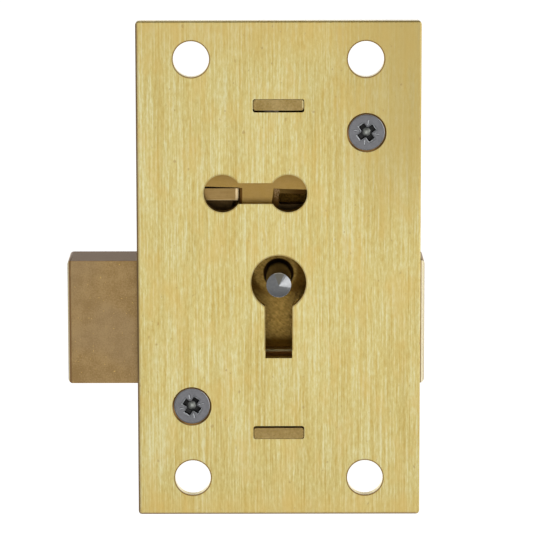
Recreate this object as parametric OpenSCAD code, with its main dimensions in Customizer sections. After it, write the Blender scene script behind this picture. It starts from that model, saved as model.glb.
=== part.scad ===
// Straight cupboard lock for a pipe key: a brass plate that lies against the door,
// a cast case behind it, and inside a bolt that shoots both ways under four levers.
// Seen from the key side, X runs to the right, Z up and Y from the door into the lock.
// The origin is the middle of the plate's outer face. The bolt is drawn thrown to the left.

/* [Plate] */
// Width of the plate
plate_w = 36.3; // [35.5:0.1:42]
// Height of the plate
plate_h = 64; // [62:0.5:76]
// Thickness of the plate
plate_t = 1.5; // [1.2:0.1:2]
// Corner radius of the plate
plate_corner_r = 0.5; // [0.2:0.1:1.5]
// Width of the softened edge round the plate's outer face
plate_edge = 0.2; // [0.05:0.05:0.4]
// Diameter of the four fixing holes
fixing_d = 4.6; // [3.5:0.1:5]
// From a side edge of the plate to the middle of a fixing hole
fixing_side = 7.05; // [5:0.05:9]
// From the top or bottom edge of the plate to the middle of a fixing hole
fixing_end = 4.85; // [4:0.05:6]

/* [Case] */
// Height of the case
case_h = 44; // [43:0.5:48]
// Depth of the case behind the plate
case_depth = 9.4; // [9:0.1:13]
// How far the plate stands out past each side of the case
case_inset = 0.15; // [0:0.05:0.5]
// Thickness of the case's walls
case_wall = 1.4; // [1.2:0.1:2]
// Thickness of the case's back
case_back = 1.55; // [1:0.05:1.8]
// Radius of the case's outer back edges
back_edge_r = 1.2; // [0.4:0.1:1.4]
// Radius of the case's upright corners
case_corner_r = 0.8; // [0.3:0.1:1.5]
// Half the width of the raised floor that the bolt's web slides on
floor_half_w = 6.8; // [6:0.1:7.2]
// Thickness of the ledge that the bolt's lower edge slides on
ledge_h = 1.6; // [1:0.1:2]

/* [Tabs] */
// Length of the tabs that hold the plate on the case
tab_len = 6.35; // [5:0.05:8]
// Thickness of a tab
tab_t = 1.4; // [1:0.1:1.4]
// Gap between a tab's inner side and its slot
tab_gap_in = 0.25; // [0.1:0.05:0.4]
// Gap between a tab's end and its slot
tab_gap_end = 0.1; // [0.05:0.05:0.4]
// Gap between a tab's outer side and its slot
tab_gap_out = 0.05; // [0.02:0.01:0.1]
// Corner radius of the tabs and their slots
tab_corner_r = 0.3; // [0.1:0.05:0.5]

/* [Keyhole and drill pin] */
// Height of the drill pin's middle over the plate's middle
key_z = -1.6; // [-3:0.1:-1]
// Diameter of the keyhole's round part
keyhole_d = 7.05; // [6.6:0.05:7.4]
// Width of the keyhole's slot
key_slot_w = 3.45; // [2.8:0.05:3.8]
// From the pin's middle down to the end of the slot
key_slot_drop = 9.84; // [9.2:0.02:10]
// Diameter of the drill pin
drill_pin_d = 3.2; // [2.4:0.1:3.4]
// How far the straight part of the pin stands out of the plate
pin_proud = 1.8; // [0:0.1:2.5]
// Height of the pin's pointed end
pin_point = 0.6; // [0.2:0.1:1.2]
// Diameter of the round recess at the foot of the pin
pin_recess_d = 3.85; // [3.8:0.05:5]
// Depth of the round recess at the foot of the pin
pin_recess_deep = 1.4; // [0.8:0.1:1.6]

/* [Window over the stump] */
// Height of the window's middle over the plate's middle
window_z = 9.94; // [9.8:0.02:10.4]
// Place of the window's middle, to the right of the plate's middle
window_x = -2.96; // [-3.2:0.02:-2.8]
// Diameter of the window's two round ends
window_d = 4.82; // [4:0.02:5]
// Height of the slot between the round ends
window_slot_h = 2.7; // [2:0.1:3]

/* [Bolt] */
// Length of the bolt
bolt_len = 45.9; // [45:0.1:48]
// Height of the bolt
bolt_h = 16; // [15:0.1:16.4]
// Height of the bolt's middle over the case's lower end
bolt_z = 15; // [14.6:0.1:15.2]
// How far the bolt travels from side to side
bolt_travel = 8.4; // [7.6:0.1:8.6]
// Width of the bevel round the bolt's face
bolt_bevel = 0.45; // [0.2:0.05:0.8]
// Radius of the bolt's upper and lower corners
bolt_corner_r = 0.5; // [0.2:0.1:1]
// Thickness of the web that joins the bolt's two heads
web_t = 1.25; // [1:0.05:1.4]
// Thickness of the talon step in front of the web
talon_t = 0.8; // [0.6:0.05:0.9]
// Width of the arms of the web on both sides of its opening
arm_w = 3.2; // [2.6:0.1:3.3]
// How far the key's tip bites into the talon
talon_bite = 1.2; // [0.8:0.1:1.4]
// Width of the talon notch
talon_w = 3.5; // [3.2:0.1:4]
// Metal left above the talon notch
talon_over = 0.85; // [0.6:0.05:0.9]
// Metal left beside the talon notch, up to where the web gets lower
talon_side = 1.4; // [1:0.1:2]
// How much lower the web is beside the talon than over it
web_drop = 1.3; // [1:0.1:1.4]

/* [Stump] */
// Length of the stump's face
stump_len = 5.3; // [4.2:0.1:5.6]
// Height of the stump
stump_h = 1.6; // [1.2:0.1:1.8]
// From the middle of the window's left end to the stump's right end
stump_end = 2.06; // [1.8:0.02:2.1]
// How far the stump's middle lies under the window's middle
stump_low = 0.42; // [0.3:0.02:0.5]
// Width of the bevel at the stump's ends
stump_bevel = 0.42; // [0.2:0.02:0.5]
// How far the bevel at the stump's ends goes back
stump_bevel_deep = 0.17; // [0.1:0.01:0.4]

/* [Levers] */
// Thickness of the front lever
lever_front_t = 0.9; // [0.8:0.05:1.2]
// Thickness of each lever behind it
lever_t = 0.7; // [0.6:0.05:0.75]
// Gap between one lever and the next
lever_gap = 0.1; // [0.05:0.01:0.15]
// Diameter of the pin that the levers turn on
pivot_d = 2.5; // [2:0.1:2.8]
// Radius of the levers' eye round their pin
eye_r = 2.4; // [2:0.1:2.5]
// From the case's inner side to the middle of the levers' pin
pivot_in = 2.6; // [2.55:0.05:3]
// Height of the levers' pin over the window's middle
pivot_up = 2.06; // [1.9:0.02:2.4]
// How far the levers droop from level at rest
droop = 1.8; // [0.5:0.1:2]
// Height of the pockets that the stump stands in
pocket_h = 4.2; // [4:0.1:4.6]
// Width of the front lever's bar between its pockets, at the top
bar_w = 4.4; // [4:0.1:4.6]
// How much the bar narrows on each side over its height
bar_taper = 0.5; // [0:0.05:0.7]
// Width of the stepped strip right of the front lever's bar
bar_step = 0.67; // [0.4:0.01:0.8]
// Height of the stepped strip under the top of the front lever's right pocket
step_down = 0.62; // [0.4:0.02:0.8]
// Height of the pockets' tops over the window's middle
pocket_up = 0.82; // [0.7:0.02:1]
// How far the right pocket runs on past the stump
pocket_past = 1; // [0.6:0.1:1.2]
// Width of a lever right of its pockets
lever_side = 1.9; // [1.5:0.1:2.2]
// Width of a lever left of its pockets
lever_nose = 1.3; // [1:0.1:1.6]
// Height of the levers' feet over the drill pin's middle
lever_foot = 5; // [4.6:0.1:5.2]
// From the right pocket to the stop pin
stop_reach = 5.2; // [4:0.1:5.4]
// How far a lever's tongue runs on past the stop pin
tongue_past = 1.1; // [0.9:0.1:1.3]
// Height of a lever's tongue, which rests on the stop pin
tongue_h = 1.2; // [1:0.1:1.4]
// Diameter of the stop pin
stop_pin_d = 1.8; // [1.4:0.1:2]

/* [Springs] */
// Thickness of the leaf springs
spring_t = 0.25; // [0.2:0.01:0.35]
// Radius that the leaf springs are bent to
spring_r = 11; // [10.5:0.1:11.5]
// Angle that a leaf spring turns through
spring_turn = 75; // [70:1:78]
// From the levers' eye to the leaf springs' feet
spring_foot = 1; // [0.8:0.1:1.2]

/* [Screws] */
// Diameter of the cover screws' heads
screw_head_d = 4.67; // [4:0.01:4.9]
// Diameter of the cover screws' shanks
screw_d = 2.4; // [2:0.1:2.6]
// Length of a cover screw
screw_len = 7; // [5:0.5:7.5]
// How far the heads lie under the plate's face
screw_sunk = 0.18; // [0.05:0.01:0.3]
// Sideways distance of the cover screws from the plate's middle
screw_x = 11.2; // [10:0.1:12]
// From the case's top or bottom to the middle of a cover screw
screw_end = 4.25; // [4:0.05:4.4]
// Radius of the posts that the cover screws go into
post_r = 2.4; // [2:0.1:2.45]
// Turn of the upper screw's cross recess
screw_turn_upper = 25; // [0:1:90]
// Turn of the lower screw's cross recess
screw_turn_lower = 52; // [0:1:90]

/* [Hidden] */
$fn = 64;

// Clearances and small sizes
play = 0.15;            // sliding room of the bolt and of the levers
pin_fit = 0.01;         // room round a pin that is pressed in
pivot_fit = 0.05;       // room between the levers and their pin
touch = 0.03;           // room between a lever's tongue and the stop pin
pocket_room = 0.4;      // room between the stump and the sides of the pockets behind the front bar
bar_room = 0.13;        // room between the stump and the front lever's bar
gate_room = 0.12;       // room over and under the stump in the levers' gates
spring_gap = 0.05;      // room at a spring's tip and sides, and round a screw in its post
spring_slot = 0.04;     // room round a spring in its lever's slot
head_room = 0.02;       // room round a cover screw's head
shank_room = 0.2;       // room round a cover screw's shank in the plate
pin_short = 0.05;       // room between the plate and the pins' front ends
sweep_room = 0.1;       // room beyond the key's reach where it turns in the bolt
tenon_in = 0.5;         // how far the stump's tenon stands in from the stump's ends
tenon_low = 0.15;       // how far it stands in from the stump's top and bottom
spacer_wall = 0.75;     // wall of the ring behind the levers
cut = 1;                // how far a cutting shape runs past what it cuts
rivet_r = 0.5;          // how much wider a pin is at its riveted end
rivet_h = 0.5;          // height of a pin's riveted end
levers = 4;
// Radius of each lever's belly about the drill pin, from the front lever to the last
belly_r = [6.3, 5.8, 6.6, 6.1];

// Places from front to back
floor_y = plate_t + case_depth - case_back;
back_y = plate_t + case_depth;
lever_1_y = plate_t + play;
levers_end_y = lever_1_y + lever_front_t + (levers - 1) * (lever_gap + lever_t);
talon_y = levers_end_y + lever_gap;
web_y = talon_y + talon_t;
web_back_y = web_y + web_t;
raised_y = web_back_y + play;
skin_t = lever_front_t / 3;
step_t = lever_front_t * 0.28;
stump_y = lever_1_y + skin_t + step_t + lever_gap;

// The case's inside
case_w = plate_w - 2 * case_inset;
inner_x = case_w / 2 - case_wall;
inner_z = case_h / 2 - case_wall;

// The bolt
bolt_x = -bolt_travel / 2;
bolt_top = bolt_z - case_h / 2 + bolt_h / 2;
bolt_low = bolt_top - bolt_h;
bolt_front_y = plate_t + play;
bolt_back_y = floor_y - play;
key_reach = key_slot_drop - play;
head_in = floor_half_w + bolt_travel / 2 + play;
opening_half = bolt_travel / 2 + keyhole_d / 2 + 5 * sweep_room;
opening_low = key_z - key_reach - sweep_room;
opening_top = key_z + key_reach - talon_bite;
notch_top = key_z + key_reach + play;
bridge_top = notch_top + talon_over;
notch_r = 0.4;
opening_r = 1;

// The stump
window_left_x = window_x - bolt_travel / 2;
window_right_x = window_x + bolt_travel / 2;
stump_right = window_left_x + stump_end;
stump_left = stump_right - stump_len;
stump_z = window_z - stump_low;
lug_room = 0.9;         // metal round the stump's tenon in the bolt

// The levers
pivot_x = -(inner_x - pivot_in);
pivot_z = window_z + pivot_up;
pocket_top = window_z + pocket_up;
pocket_low = pocket_top - pocket_h;
pocket_left = stump_left - pocket_room;
pocket_right = stump_right + bolt_travel + pocket_past;
bar_left = stump_right + bar_room;
bar_right = bar_left + bar_w;
back_bar_left = stump_right + pocket_room;
back_bar_right = stump_left + bolt_travel - pocket_room;
lever_right = pocket_right + lever_side;
lever_left = pocket_left - lever_nose;
lever_low = key_z + lever_foot;
tongue_z = pivot_z;
stop_x = pocket_right + stop_reach;
tongue_end = stop_x + tongue_past;

// A leaf spring's arc ends against the case's top wall
spring_x = pivot_x + eye_r + spring_foot + spring_r * sin(spring_turn);

// The cover screws and their holes
screw_z = case_h / 2 - screw_end;
sink_d = screw_head_d + 2 * screw_sunk + 2 * head_room;
screw_hole_d = screw_d + 2 * shank_room;
post_hole_d = screw_d + 2 * spring_gap;
recess_r = 1.2;
recess_w = 0.65;
recess_deep = 0.8;
mark_r = 1.7;           // reach of the fine marks between the recess's arms
mark_w = 0.12;
mark_deep = 0.1;

// A point of a level lever, turned about the levers' pin to where it hangs at rest
function drooped(p) = let (d = p - [pivot_x, pivot_z])
    [pivot_x + d.x * cos(droop) + d.y * sin(droop), pivot_z - d.x * sin(droop) + d.y * cos(droop)];

// Middle of the stop pin, just under the levers' tongues
stop_place = drooped([stop_x, tongue_z - stop_pin_d / 2 - touch]);

// y of the front face of lever n, counted from 0 at the front
function lever_y(n) = n == 0
    ? lever_1_y
    : lever_1_y + lever_front_t + lever_gap + (n - 1) * (lever_t + lever_gap);

// Thickness of lever n
function thick(n) = n == 0 ? lever_front_t : lever_t;

// A flat outline in X and Z, drawn from y0 to y1
module along_y(y0, y1) {
    translate([0, y1, 0]) rotate([90, 0, 0]) linear_extrude(height = y1 - y0) children();
}

// A flat outline in Y and Z, drawn from x0 to x1
module along_x(x0, x1) {
    translate([x0, 0, 0]) rotate([90, 0, 90]) linear_extrude(height = x1 - x0) children();
}

// A flat outline in X and Y, drawn from z0 to z1
module along_z(z0, z1) {
    translate([0, 0, z0]) linear_extrude(height = z1 - z0) children();
}

// A profile of radius and depth, turned about a line that runs from the door into the lock
module turned(x, z) {
    translate([x, 0, z]) rotate([-90, 0, 0]) rotate_extrude() children();
}

// A round bar or bore from y0 to y1
module rod(x, z, y0, y1, r) {
    translate([x, y0, z]) rotate([-90, 0, 0]) cylinder(h = y1 - y0, r = r);
}

// A rectangle with round corners, given by its low and high corners
module soft_rect(low, high, r) {
    translate([low.x + r, low.y]) square([high.x - low.x - 2 * r, high.y - low.y]);
    translate([low.x, low.y + r]) square([high.x - low.x, high.y - low.y - 2 * r]);
    for (x = [low.x + r, high.x - r]) {
        for (y = [low.y + r, high.y - r]) {
            translate([x, y]) circle(r);
        }
    }
}

// A rectangle from one corner to the other
module rect(low, high) {
    translate(low) square([high.x - low.x, high.y - low.y]);
}

// Side outline of the plate: half as deep at the front edge, by the softened edge
module plate_section(half) {
    polygon([[0, -half + plate_edge], [plate_edge, -half], [plate_t, -half],
        [plate_t, half], [plate_edge, half], [0, half - plate_edge]]);
}

// The keyhole, with its slot running down
module keyhole() {
    translate([0, key_z]) circle(d = keyhole_d);
    rect([-key_slot_w / 2, key_z - key_slot_drop], [key_slot_w / 2, key_z]);
}

// The window that shows the stump: two round ends joined by a slot
module stump_window() {
    for (x = [window_left_x, window_right_x]) {
        translate([x, window_z]) circle(d = window_d);
    }
    rect([window_left_x, window_z - window_slot_h / 2], [window_right_x, window_z + window_slot_h / 2]);
}

// The slot for a tab of the case, at the top or the bottom
module tab_slot(side) {
    half = tab_len / 2 + tab_gap_end;
    outer = case_h / 2 + tab_gap_out;
    inner = case_h / 2 - tab_t - tab_gap_in;
    if (side > 0) soft_rect([-half, inner], [half, outer], tab_corner_r);
    else soft_rect([-half, -outer], [half, -inner], tab_corner_r);
}

// The hole and countersink for a cover screw
module screw_sink(x, z) {
    turned(x, z) polygon([[0, -cut], [sink_d / 2 + cut, -cut],
        [screw_hole_d / 2, (sink_d - screw_hole_d) / 2], [screw_hole_d / 2, plate_t + cut],
        [0, plate_t + cut]]);
}

module face_plate() {
    color([0.82, 0.75, 0.48])
    difference() {
        intersection() {
            along_y(0, plate_t)
                soft_rect([-plate_w / 2, -plate_h / 2], [plate_w / 2, plate_h / 2], plate_corner_r);
            along_x(-plate_w / 2, plate_w / 2) plate_section(plate_h / 2);
            along_z(-plate_h / 2, plate_h / 2) rotate(90) mirror([0, 1]) plate_section(plate_w / 2);
        }
        for (x = [-1, 1]) {
            for (z = [-1, 1]) {
                rod(x * (plate_w / 2 - fixing_side), z * (plate_h / 2 - fixing_end),
                    -cut, plate_t + cut, fixing_d / 2);
            }
        }
        along_y(-cut, plate_t + cut) {
            keyhole();
            stump_window();
            tab_slot(1);
            tab_slot(-1);
        }
        screw_sink(screw_x, screw_z);
        screw_sink(-screw_x, -screw_z);
    }
}

// Outline of the case's box from the side: square at the front and round at the back
module case_section(half) {
    r = back_edge_r;
    rect([plate_t, -half], [back_y - r, half]);
    rect([plate_t, -half + r], [back_y, half - r]);
    for (z = [-half + r, half - r]) {
        translate([back_y - r, z]) circle(r);
    }
}

// The outside of the case's box
module case_shell() {
    intersection() {
        along_y(plate_t, back_y)
            soft_rect([-case_w / 2, -case_h / 2], [case_w / 2, case_h / 2], case_corner_r);
        along_x(-case_w / 2, case_w / 2) case_section(case_h / 2);
        along_z(-case_h / 2, case_h / 2) rotate(90) mirror([0, 1]) case_section(case_w / 2);
    }
}

// A post for a cover screw, joined to the case's nearest wall
module screw_post(x, z) {
    rod(x, z, plate_t, back_y - case_back / 2, post_r);
    wall_z = z > 0 ? case_h / 2 - case_wall / 2 : z;
    foot_z = z > 0 ? z : -case_h / 2 + case_wall / 2;
    along_y(plate_t, back_y - case_back / 2) rect([x - post_r, foot_z], [x + post_r, wall_z]);
}

// A tab on the case's rim
module tab(side) {
    inner = case_h / 2 - tab_t;
    low = side > 0 ? inner : -case_h / 2;
    along_y(0, plate_t + cut)
        soft_rect([-tab_len / 2, low], [tab_len / 2, low + tab_t], tab_corner_r);
}

// The bore and countersink of a pin that is riveted over the case's back
module riveted_hole(x, z, r, from_y) {
    rod(x, z, from_y, back_y + cut, r);
    turned(x, z) polygon([[0, back_y - rivet_h], [r, back_y - rivet_h],
        [r + rivet_r, back_y], [r + rivet_r, back_y + cut], [0, back_y + cut]]);
}

module case() {
    color([0.66, 0.52, 0.3])
    difference() {
        union() {
            difference() {
                case_shell();
                along_y(plate_t - cut, floor_y)
                    soft_rect([-inner_x, -inner_z], [inner_x, inner_z], case_corner_r);
                along_y(plate_t - cut, floor_y)
                    rect([-case_w, bolt_low - play], [case_w, bolt_top + play]);
            }
            along_y(raised_y, back_y - case_back / 2)
                rect([-floor_half_w, -inner_z - case_wall / 2], [floor_half_w, inner_z + case_wall / 2]);
            along_y(plate_t, back_y - case_back / 2)
                rect([-inner_x - case_wall / 2, bolt_low - play - ledge_h],
                    [inner_x + case_wall / 2, bolt_low - play]);
            screw_post(screw_x, screw_z);
            screw_post(-screw_x, -screw_z);
            tab(1);
            tab(-1);
        }
        rod(0, key_z, raised_y - cut, raised_y + pin_recess_deep, pin_recess_d / 2);
        riveted_hole(0, key_z, drill_pin_d / 2 + pin_fit, raised_y);
        riveted_hole(pivot_x, pivot_z, pivot_d / 2 + pin_fit, floor_y - cut);
        riveted_hole(stop_place.x, stop_place.y, stop_pin_d / 2 + pin_fit, floor_y - cut);
        rod(screw_x, screw_z, plate_t - cut, plate_t + screw_len, post_hole_d / 2);
        rod(-screw_x, -screw_z, plate_t - cut, plate_t + screw_len, post_hole_d / 2);
    }
}

module drill_pin() {
    r = drill_pin_d / 2;
    color([0.55, 0.56, 0.58])
    turned(0, key_z) polygon([[0, -pin_proud - pin_point], [r, -pin_proud], [r, back_y - rivet_h],
        [r + rivet_r, back_y], [0, back_y]]);
}

module lever_pivot_pin() {
    r = pivot_d / 2;
    color([0.6, 0.6, 0.6])
    turned(pivot_x, pivot_z) polygon([[0, plate_t + pin_short], [r, plate_t + pin_short],
        [r, back_y - rivet_h], [r + rivet_r, back_y], [0, back_y]]);
}

module pivot_spacer() {
    color([0.7, 0.58, 0.34])
    difference() {
        rod(pivot_x, pivot_z, talon_y, floor_y, pivot_d / 2 + spacer_wall);
        rod(pivot_x, pivot_z, talon_y - cut, floor_y + cut, pivot_d / 2 + pin_fit);
    }
}

module lever_stop_pin() {
    r = stop_pin_d / 2;
    color([0.6, 0.6, 0.6])
    turned(stop_place.x, stop_place.y) polygon([[0, plate_t + pin_short], [r, plate_t + pin_short],
        [r, back_y - rivet_h], [r + rivet_r, back_y], [0, back_y]]);
}

// One head of the bolt, on the left or right of the raised floor
module bolt_head(side) {
    outer = side * bolt_len / 2;
    inner = side * head_in;
    low = min(outer, inner);
    high = max(outer, inner);
    along_y(bolt_front_y, bolt_back_y) rect([bolt_x + low, bolt_low], [bolt_x + high, bolt_top]);
}

// Outline of the bolt from above: bevelled round its front face, and square at the back
module bolt_plan() {
    half = bolt_len / 2;
    polygon([[bolt_x - half, bolt_back_y], [bolt_x - half, bolt_front_y + bolt_bevel],
        [bolt_x - half + bolt_bevel, bolt_front_y], [bolt_x + half - bolt_bevel, bolt_front_y],
        [bolt_x + half, bolt_front_y + bolt_bevel], [bolt_x + half, bolt_back_y]]);
}

// One half of the web that joins the heads: a frame round the drill pin, highest over the talon
module half_web() {
    outer = opening_half + arm_w;
    shoulder = 1.6;
    hump = talon_w / 2 + talon_side;
    low_top = bridge_top - web_drop;
    polygon([[0, bolt_low], [head_in + cut, bolt_low], [head_in + cut, bolt_top], [outer, bolt_top],
        [outer, low_top - shoulder], [outer - shoulder, low_top], [hump + web_drop, low_top],
        [hump, bridge_top], [0, bridge_top]]);
}

// The whole web, with the opening that the key turns in still to be cut
module bolt_web() {
    translate([bolt_x, 0]) {
        half_web();
        mirror([1, 0]) half_web();
    }
}

// The lug on the bridge that the stump's tenon sits in
module stump_lug() {
    lug_top = stump_z + stump_h / 2 + lug_room / 2;
    rect([stump_left - lug_room, opening_top], [stump_right + lug_room, lug_top]);
}

// The tenon of the stump, which is a little smaller than the stump's face
module stump_tenon(room) {
    half = stump_h / 2 - tenon_low + room;
    rect([stump_left + tenon_in - room, stump_z - half], [stump_right - tenon_in + room, stump_z + half]);
}

module bolt() {
    color([0.6, 0.47, 0.3])
    difference() {
        union() {
            difference() {
                intersection() {
                    union() {
                        bolt_head(-1);
                        bolt_head(1);
                    }
                    along_y(bolt_front_y - cut, bolt_back_y + cut)
                        soft_rect([bolt_x - bolt_len / 2, bolt_low],
                            [bolt_x + bolt_len / 2, bolt_top], bolt_corner_r);
                    along_z(bolt_low - cut, bolt_top + cut) bolt_plan();
                }
                for (x = [bolt_x - bolt_travel / 2, bolt_x + bolt_travel / 2]) {
                    rod(x, key_z, bolt_front_y - cut, web_y, key_reach + sweep_room);
                }
            }
            along_y(web_y, web_back_y) bolt_web();
            along_y(talon_y, web_back_y) {
                intersection() {
                    bolt_web();
                    rect([bolt_x - opening_half, opening_top], [bolt_x + opening_half, bridge_top]);
                }
                stump_lug();
            }
        }
        along_y(web_y - cut, web_back_y + cut)
            soft_rect([bolt_x - opening_half, opening_low], [bolt_x + opening_half, opening_top], opening_r);
        along_y(talon_y - cut, web_back_y + cut)
            soft_rect([bolt_x - talon_w / 2, opening_top - cut], [bolt_x + talon_w / 2, notch_top], notch_r);
        along_y(talon_y - cut, web_back_y + cut) stump_tenon(pin_fit);
    }
}

module bolt_stump() {
    low = stump_z - stump_h / 2;
    b = stump_bevel;
    edge_y = stump_y + stump_bevel_deep;
    color([0.62, 0.49, 0.31]) {
        along_z(low, low + stump_h)
            polygon([[stump_left, talon_y], [stump_left, edge_y], [stump_left + b, stump_y],
                [stump_right - b, stump_y], [stump_right, edge_y], [stump_right, talon_y]]);
        along_y(talon_y - play, web_back_y) stump_tenon(0);
    }
}

// A level outline turned about the levers' pin to where it hangs at rest
module at_rest() {
    translate([pivot_x, pivot_z]) rotate(-droop) translate([-pivot_x, -pivot_z]) children();
}

// Outline of a lever without its eye, level: its body round the pockets, and the tongue at its right
module lever_outline() {
    foot = 1.5;
    neck = eye_r - 0.3;
    polygon([[pivot_x, pivot_z + neck], [tongue_end, tongue_z + tongue_h], [tongue_end, tongue_z],
        [lever_right + foot / 2, tongue_z], [lever_right, tongue_z - foot / 2],
        [lever_right, lever_low + foot / 3], [lever_right - foot / 3, lever_low],
        [lever_left + foot, lever_low], [lever_left, lever_low + foot],
        [lever_left, pivot_z - eye_r - foot / 2], [pivot_x, pivot_z - neck]]);
}

// The two pockets of a lever, level, left and right of its bar
module lever_pockets(left, right, taper, right_top = pocket_top) {
    polygon([[pocket_left, pocket_low], [left + taper, pocket_low], [left, pocket_top],
        [pocket_left, pocket_top]]);
    polygon([[right - taper, pocket_low], [pocket_right, pocket_low], [pocket_right, right_top],
        [right, right_top]]);
}

// The gate that the stump runs through when it passes under the bar
module lever_gate() {
    rect([pocket_left, stump_z - stump_h / 2 - gate_room], [pocket_right, stump_z + stump_h / 2 + gate_room]);
}

// A leaf spring in the plane of its lever, from the lever's slot up to the case's top wall
module leaf(y0, y1, room) {
    r = spring_r;
    translate([spring_x, y1, inner_z - spring_gap - r]) rotate([90, 0, 0]) rotate([0, 0, 90])
        rotate_extrude(angle = spring_turn)
            translate([r - spring_t - room, 0]) square([spring_t + 2 * room, y1 - y0]);
}

// Lever n, counted from 0 at the front: its belly is an arc about the drill pin, and the
// front lever's bar keeps a skin and a step in front of the gate
module lever(n) {
    y = lever_y(n);
    back = y + thick(n);
    gate_y = n == 0 ? y + skin_t + step_t : y - cut;
    color([0.62, 0.5, 0.28])
    difference() {
        union() {
            rod(pivot_x, pivot_z, y, back, eye_r);
            along_y(y, back) at_rest() lever_outline();
        }
        if (n == 0) {
            along_y(y - cut, y + skin_t) at_rest() lever_pockets(bar_left, bar_right, bar_taper);
            along_y(y + skin_t, gate_y)
                at_rest() lever_pockets(bar_left, bar_right + bar_step, 0, pocket_top - step_down);
        }
        along_y(gate_y, back + cut) {
            at_rest() lever_pockets(back_bar_left, back_bar_right, 0);
            lever_gate();
        }
        rod(0, key_z, y - cut, back + cut, belly_r[n]);
        rod(pivot_x, pivot_z, y - cut, back + cut, pivot_d / 2 + pivot_fit);
        leaf(y - cut, back + cut, spring_slot);
    }
}

// The leaf spring of lever n
module lever_spring(n) {
    y = lever_y(n);
    color([0.72, 0.72, 0.7]) leaf(y + spring_gap, y + thick(n) - spring_gap, 0);
}

module lever_1() { lever(0); }
module lever_2() { lever(1); }
module lever_3() { lever(2); }
module lever_4() { lever(3); }
module lever_spring_1() { lever_spring(0); }
module lever_spring_2() { lever_spring(1); }
module lever_spring_3() { lever_spring(2); }
module lever_spring_4() { lever_spring(3); }

// A countersunk screw with a cross recess and the four fine marks between its arms
module cover_screw(x, z, turn) {
    head_r = screw_head_d / 2;
    shank_r = screw_d / 2;
    color([0.45, 0.46, 0.48])
    difference() {
        turned(x, z) polygon([[0, screw_sunk], [head_r, screw_sunk],
            [shank_r, screw_sunk + head_r - shank_r], [shank_r, screw_len - shank_r / 2],
            [shank_r / 2, screw_len], [0, screw_len]]);
        translate([x, screw_sunk + recess_deep, z]) rotate([90, 0, 0]) rotate(turn) {
            for (a = [0, 90]) {
                rotate(a) linear_extrude(height = recess_deep + cut)
                    square([2 * recess_r, recess_w], center = true);
                rotate(a + 45) translate([0, 0, recess_deep - mark_deep])
                    linear_extrude(height = cut) square([2 * mark_r, mark_w], center = true);
            }
            cylinder(h = recess_deep + cut, r = recess_r / 2);
        }
    }
}

module cover_screw_upper() { cover_screw(screw_x, screw_z, screw_turn_upper); }
module cover_screw_lower() { cover_screw(-screw_x, -screw_z, screw_turn_lower); }

face_plate();
case();
drill_pin();
lever_pivot_pin();
pivot_spacer();
lever_stop_pin();
bolt();
bolt_stump();
lever_1();
lever_2();
lever_3();
lever_4();
lever_spring_1();
lever_spring_2();
lever_spring_3();
lever_spring_4();
cover_screw_upper();
cover_screw_lower();
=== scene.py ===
"""Dresses a straight cupboard lock: brass plate, cast case and bolt, levers, pins and cover screws.

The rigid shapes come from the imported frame. This script softens their edges, builds the screws and leaf springs
anew, gives every surface its finish, and sets up the camera, the light and the floor. Sizes and places are in
millimetres, in the frame's axes: X to the right, Y from the door into the lock, Z up.
"""
import logging
import math
from dataclasses import dataclass, replace
from enum import Enum
from functools import cached_property
from typing import Any, Union

import bmesh
import bpy
from bpy.types import ColorRamp, Material, Mesh, Node, NodeSocket, NodeTree, Object
from mathutils import Matrix, Vector


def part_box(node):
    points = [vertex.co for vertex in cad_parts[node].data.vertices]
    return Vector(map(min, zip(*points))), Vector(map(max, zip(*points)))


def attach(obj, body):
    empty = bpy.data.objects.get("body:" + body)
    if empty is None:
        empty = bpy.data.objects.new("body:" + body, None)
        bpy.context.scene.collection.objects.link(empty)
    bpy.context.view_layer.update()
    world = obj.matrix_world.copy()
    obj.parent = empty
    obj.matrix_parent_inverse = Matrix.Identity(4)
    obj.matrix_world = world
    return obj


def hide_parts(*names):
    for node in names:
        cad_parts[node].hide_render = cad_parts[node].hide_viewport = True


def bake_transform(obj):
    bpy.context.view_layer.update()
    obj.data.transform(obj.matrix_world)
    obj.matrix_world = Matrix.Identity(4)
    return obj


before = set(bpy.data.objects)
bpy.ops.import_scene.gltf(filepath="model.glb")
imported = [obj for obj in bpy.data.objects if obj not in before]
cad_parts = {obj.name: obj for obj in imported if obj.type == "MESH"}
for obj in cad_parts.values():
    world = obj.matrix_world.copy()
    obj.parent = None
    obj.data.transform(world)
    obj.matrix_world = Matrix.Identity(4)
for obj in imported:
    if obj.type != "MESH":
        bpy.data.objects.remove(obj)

log = logging.getLogger("lock")

MM = 0.001
CASE_BODY = "lock_case"
BOLT_BODY = "bolt"
LEVER_COUNT = 4
WHITE = (1.0, 1.0, 1.0, 1.0)

Triple = tuple[float, float, float]
Colour = Triple
Place = tuple[float, float]
Steps = tuple[float, ...]
Stops = tuple[tuple[float, Colour], ...]
Hole = tuple[Place, float, float]
Number = Union[float, int, "Val"]


class Side(Enum):
    """The two places of the cover screws."""

    UPPER = "cover_screw_upper"
    LOWER = "cover_screw_lower"


@dataclass(frozen=True)
class Grain:
    """A noise pattern about 0.5.

    Attributes:
        scale: repeats in a millimetre, in every direction or along each axis.
        detail: number of finer layers of noise.
        roughness: share of each finer layer.
        seed: place in the noise's fourth dimension.
        weight: its share in a tone, or the share of its spots in a coat.
        turn: degrees that it is turned about Y.
    """

    scale: Triple | float
    detail: float = 3.0
    roughness: float = 0.5
    seed: float = 0.0
    weight: float = 1.0
    turn: float = 0.0


@dataclass(frozen=True)
class Spots(Grain):
    """The places where a noise pattern rises over a threshold, from the first value to the second."""

    over: Steps = (0.6, 0.7)


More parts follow.
